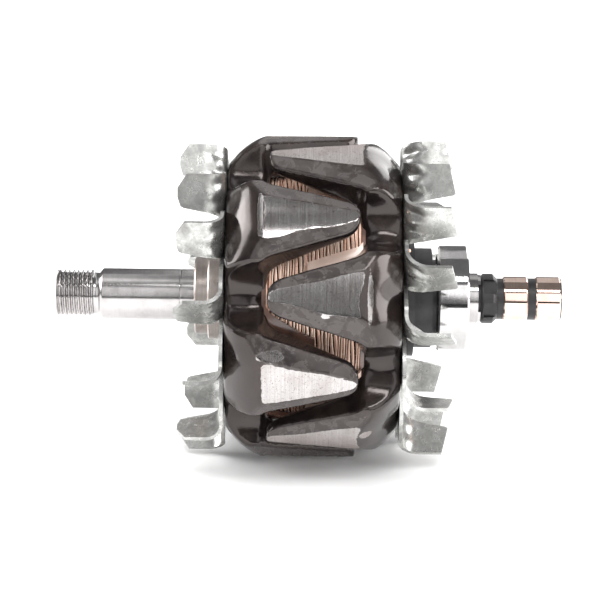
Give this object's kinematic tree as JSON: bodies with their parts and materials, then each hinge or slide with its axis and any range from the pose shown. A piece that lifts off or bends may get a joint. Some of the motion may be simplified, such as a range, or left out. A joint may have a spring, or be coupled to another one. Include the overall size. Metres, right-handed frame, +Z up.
{
  "type": "claw-pole alternator rotor",
  "caption": "Claw-pole alternator rotor: two interlocking six-claw poles around a field coil on a stepped shaft, with two sheet fans, a sealed ball bearing and slip rings.",
  "frame": {"origin": "on the shaft's axis, in the middle plane between the two pole webs", "axes": "+X along the shaft from the threaded drive end to the slip rings, +Z up with the rotor lying on two claws"},
  "size_m": [0.1672, 0.1054, 0.106],
  "materials": {
    "turned_steel": "turned, bright",
    "collar_steel": "turned, browned",
    "varnished_iron": "forged iron under dark impregnating varnish, with bare ground pole faces",
    "bobbin_plastic": "moulded, matt",
    "enamelled_copper": "round enamelled copper wire, wound",
    "zinc_sheet": "zinc-plated sheet",
    "black_plastic": "satin",
    "bearing_steel": "ground",
    "seal_rubber": "moulded",
    "ring_copper": "turned copper"
  },
  "bodies": {
    "rotor": {"shaft": "turned_steel", "spacer_collar": "collar_steel", "thrust_collar": "collar_steel", "drive_end_pole": "varnished_iron", "slip_ring_end_pole": "varnished_iron", "bobbin": "bobbin_plastic", "coil_winding": "enamelled_copper", "coil_lead_near": "enamelled_copper", "coil_lead_far": "enamelled_copper", "drive_end_petals": "bobbin_plastic", "slip_ring_end_petals": "bobbin_plastic", "drive_end_fan": "zinc_sheet", "slip_ring_end_fan": "zinc_sheet", "lead_insulator": "black_plastic", "bearing_inner_ring": "bearing_steel", "rear_sleeve": "turned_steel", "retaining_clip": "bearing_steel", "slip_ring_hub": "black_plastic", "slip_ring_inner": "ring_copper", "slip_ring_outer": "ring_copper"},
    "bearing_outer": {"bearing_outer_ring": "bearing_steel", "bearing_seal_inboard": "seal_rubber", "bearing_seal_outboard": "seal_rubber"}
  },
  "joints": [
    {"name": "bearing_spin", "type": "hinge", "parent": "rotor", "child": "bearing_outer", "pos_m": [0.046, 0, 0], "axis": [1, 0, 0], "continuous": true}
  ]
}
